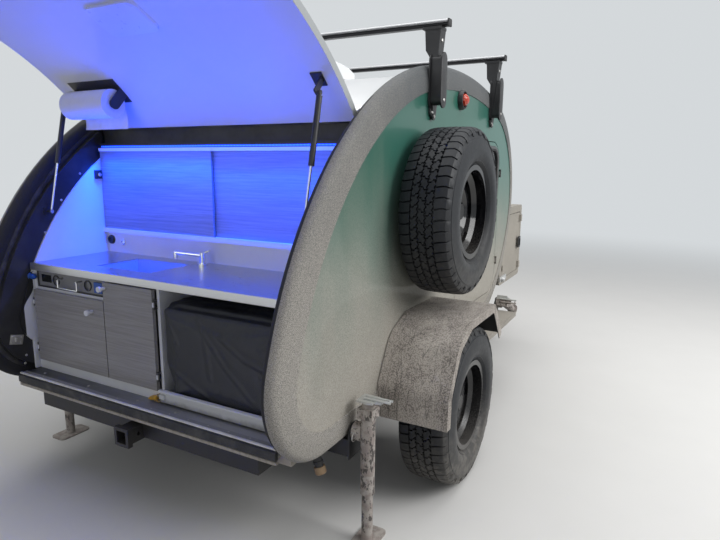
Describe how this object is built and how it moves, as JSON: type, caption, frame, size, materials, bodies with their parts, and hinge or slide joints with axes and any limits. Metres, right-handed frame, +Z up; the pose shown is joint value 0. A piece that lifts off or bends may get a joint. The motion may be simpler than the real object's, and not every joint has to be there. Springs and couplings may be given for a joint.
{
  "type": "teardrop trailer",
  "caption": "Off-road teardrop camping trailer with a rear galley under a lifted hatch, side-mounted spare wheel, roof bars, swing jacks, steps and a tongue box.",
  "frame": {"origin": "on the ground under the middle of the axle line", "axes": "+X to the kerb side, +Y in the direction of travel, +Z up"},
  "size_m": [2.309, 4.7407, 2.1466],
  "materials": {
    "body_paint": "dark green, dusty",
    "rim_trim": "dark grey edge, dusty",
    "skin": "white skin",
    "hatch_skin": "white skin",
    "steel_frame": "black, dusty",
    "zinc": "zinc, muddy",
    "jack_steel": "muddy",
    "fender_coat": "textured coat, muddy",
    "tyre": "road tread",
    "wheel_steel": "black",
    "dark_plastic": "black",
    "window": "tinted",
    "worktop": "ribbed steel",
    "chrome": "polished",
    "grey_board": "grey grained laminate",
    "white_board": "white laminate",
    "aluminium_trim": "brushed",
    "lamp_white": "lamp lens",
    "lamp_red": "lamp lens",
    "paper": "soft paper",
    "cover_cloth": "black padded cover",
    "vent_plastic": "white",
    "box_skin": "dark green, dusty"
  },
  "bodies": {
    "trailer": {"chassis_frame": "steel_frame", "receiver_tube": "steel_frame", "coupler": "zinc", "axle_beam": "steel_frame", "spare_tyre": "tyre", "spare_rim": "wheel_steel", "spare_carrier": "steel_frame", "fenders": "fender_coat", "side_steps": "fender_coat", "edge_rims": "rim_trim", "side_walls": "body_paint", "roof_shell": "skin", "floor_deck": "grey_board", "sill_lip": "aluminium_trim", "hinge_rail": "aluminium_trim", "galley_liners": "white_board", "hatch_jambs": "dark_plastic", "hinge_header": "white_board", "light_strip": "lamp_white", "bulkhead": "white_board", "upper_locker": "white_board", "galley_cabinet": "white_board", "counter_sink": "worktop", "tap": "chrome", "control_panel": "dark_plastic", "tongue_jack": "zinc", "tongue_box": "box_skin", "roof_bars": "aluminium_trim", "rack_towers": "dark_plastic", "vent_frame": "vent_plastic", "marker_lamps": "lamp_red"},
    "wheel_right": {"tyre_right": "tyre", "wheel_rim_right": "wheel_steel"},
    "wheel_left": {"tyre_left": "tyre", "wheel_rim_left": "wheel_steel"},
    "cabin_door_right_body": {"cabin_door_right": "body_paint", "door_window_right": "window"},
    "cabin_door_left_body": {"cabin_door_left": "body_paint", "door_window_left": "window"},
    "hatch": {"hatch_shell": "hatch_skin", "hatch_fittings": "dark_plastic", "paper_roll": "paper", "hatch_light": "lamp_white"},
    "strut_tube_right_body": {"strut_tube_right": "dark_plastic"},
    "strut_tube_left_body": {"strut_tube_left": "dark_plastic"},
    "strut_rod_right_body": {"strut_rod_right": "chrome"},
    "strut_rod_left_body": {"strut_rod_left": "chrome"},
    "slider_right_body": {"slider_right": "grey_board"},
    "slider_left_body": {"slider_left": "grey_board"},
    "galley_door_left_body": {"galley_door_left": "grey_board"},
    "galley_door_middle_body": {"galley_door_middle": "grey_board"},
    "tray": {"slide_tray": "aluminium_trim", "fridge": "cover_cloth"},
    "jack_rear_right_body": {"jack_rear_right": "jack_steel"},
    "jack_rear_left_body": {"jack_rear_left": "jack_steel"},
    "jack_front_right_body": {"jack_front_right": "jack_steel"},
    "jack_front_left_body": {"jack_front_left": "jack_steel"},
    "box_door_right_body": {"box_door_right": "box_skin"},
    "box_door_left_body": {"box_door_left": "box_skin"},
    "vent_lid_body": {"vent_lid": "vent_plastic"}
  },
  "joints": [
    {"name": "wheel_spin_right", "type": "hinge", "parent": "trailer", "child": "wheel_right", "pos_m": [1.0145, 0, 0.36675], "axis": [-1, 0, 0], "continuous": true},
    {"name": "wheel_spin_left", "type": "hinge", "parent": "trailer", "child": "wheel_left", "pos_m": [-1.0145, 0, 0.36675], "axis": [-1, 0, 0], "continuous": true},
    {"name": "cabin_door_right_swing", "type": "hinge", "parent": "trailer", "child": "cabin_door_right_body", "pos_m": [0.85, 1.296, 1.114], "axis": [0, 0, 1], "range_deg": [0, 105]},
    {"name": "cabin_door_left_swing", "type": "hinge", "parent": "trailer", "child": "cabin_door_left_body", "pos_m": [-0.85, 1.296, 1.114], "axis": [0, 0, -1], "range_deg": [0, 105]},
    {"name": "hatch_lift", "type": "hinge", "parent": "trailer", "child": "hatch", "pos_m": [0, -0.4428, 1.64894], "axis": [-1, 0, 0], "range_deg": [-82.1, 0]},
    {"name": "strut_tube_right_swing", "type": "hinge", "parent": "hatch", "child": "strut_tube_right_body", "pos_m": [0.712, -0.645, 1.7], "axis": [-1, 0, 0], "range_deg": [0, 114.17]},
    {"name": "strut_rod_right_slide", "type": "slide", "parent": "strut_tube_right_body", "child": "strut_rod_right_body", "axis": [0, 0.2243, 0.9745], "range_m": [0, 0.1601]},
    {"name": "strut_tube_left_swing", "type": "hinge", "parent": "hatch", "child": "strut_tube_left_body", "pos_m": [-0.712, -0.645, 1.7], "axis": [-1, 0, 0], "range_deg": [0, 114.17]},
    {"name": "strut_rod_left_slide", "type": "slide", "parent": "strut_tube_left_body", "child": "strut_rod_left_body", "axis": [0, 0.2243, 0.9745], "range_m": [0, 0.1601]},
    {"name": "slider_right_slide", "type": "slide", "parent": "trailer", "child": "slider_right_body", "axis": [-1, 0, 0], "range_m": [0, 0.7]},
    {"name": "slider_left_slide", "type": "slide", "parent": "trailer", "child": "slider_left_body", "axis": [1, 0, 0], "range_m": [0, 0.7]},
    {"name": "galley_door_left_swing", "type": "hinge", "parent": "trailer", "child": "galley_door_left_body", "pos_m": [-0.7265, -0.869, 0.68], "axis": [0, 0, -1], "range_deg": [0, 90]},
    {"name": "galley_door_middle_swing", "type": "hinge", "parent": "trailer", "child": "galley_door_middle_body", "pos_m": [0.0655, -0.869, 0.72], "axis": [0, 0, 1], "range_deg": [0, 90]},
    {"name": "tray_slide", "type": "slide", "parent": "trailer", "child": "tray", "axis": [0, -1, 0], "range_m": [0, 0.38]},
    {"name": "jack_rear_right_swing", "type": "hinge", "parent": "trailer", "child": "jack_rear_right_body", "pos_m": [0.88, -0.63, 0.45], "axis": [-1, 0, 0], "range_deg": [0, 90]},
    {"name": "jack_rear_left_swing", "type": "hinge", "parent": "trailer", "child": "jack_rear_left_body", "pos_m": [-0.88, -0.63, 0.45], "axis": [-1, 0, 0], "range_deg": [0, 90]},
    {"name": "jack_front_right_swing", "type": "hinge", "parent": "trailer", "child": "jack_front_right_body", "pos_m": [0.88, 1.36, 0.53], "axis": [-1, 0, 0], "range_deg": [0, 68]},
    {"name": "jack_front_left_swing", "type": "hinge", "parent": "trailer", "child": "jack_front_left_body", "pos_m": [-0.88, 1.36, 0.53], "axis": [-1, 0, 0], "range_deg": [0, 68]},
    {"name": "box_door_right_swing", "type": "hinge", "parent": "trailer", "child": "box_door_right_body", "pos_m": [0.772, 1.791, 0.845], "axis": [0, 0, -1], "range_deg": [0, 100]},
    {"name": "box_door_left_swing", "type": "hinge", "parent": "trailer", "child": "box_door_left_body", "pos_m": [-0.772, 1.791, 0.845], "axis": [0, 0, 1], "range_deg": [0, 100]},
    {"name": "vent_lid_lift", "type": "hinge", "parent": "trailer", "child": "vent_lid_body", "pos_m": [0, 0.578, 1.9089], "axis": [-1, 0, 0], "range_deg": [0, 60]}
  ],
  "couplings": [
    {"joint": "strut_tube_right_swing", "follows": "hatch_lift", "ratio": -1.3905},
    {"joint": "strut_rod_right_slide", "follows": "hatch_lift", "m_per_rad": -0.1116},
    {"joint": "strut_tube_left_swing", "follows": "hatch_lift", "ratio": -1.3905},
    {"joint": "strut_rod_left_slide", "follows": "hatch_lift", "m_per_rad": -0.1116}
  ]
}
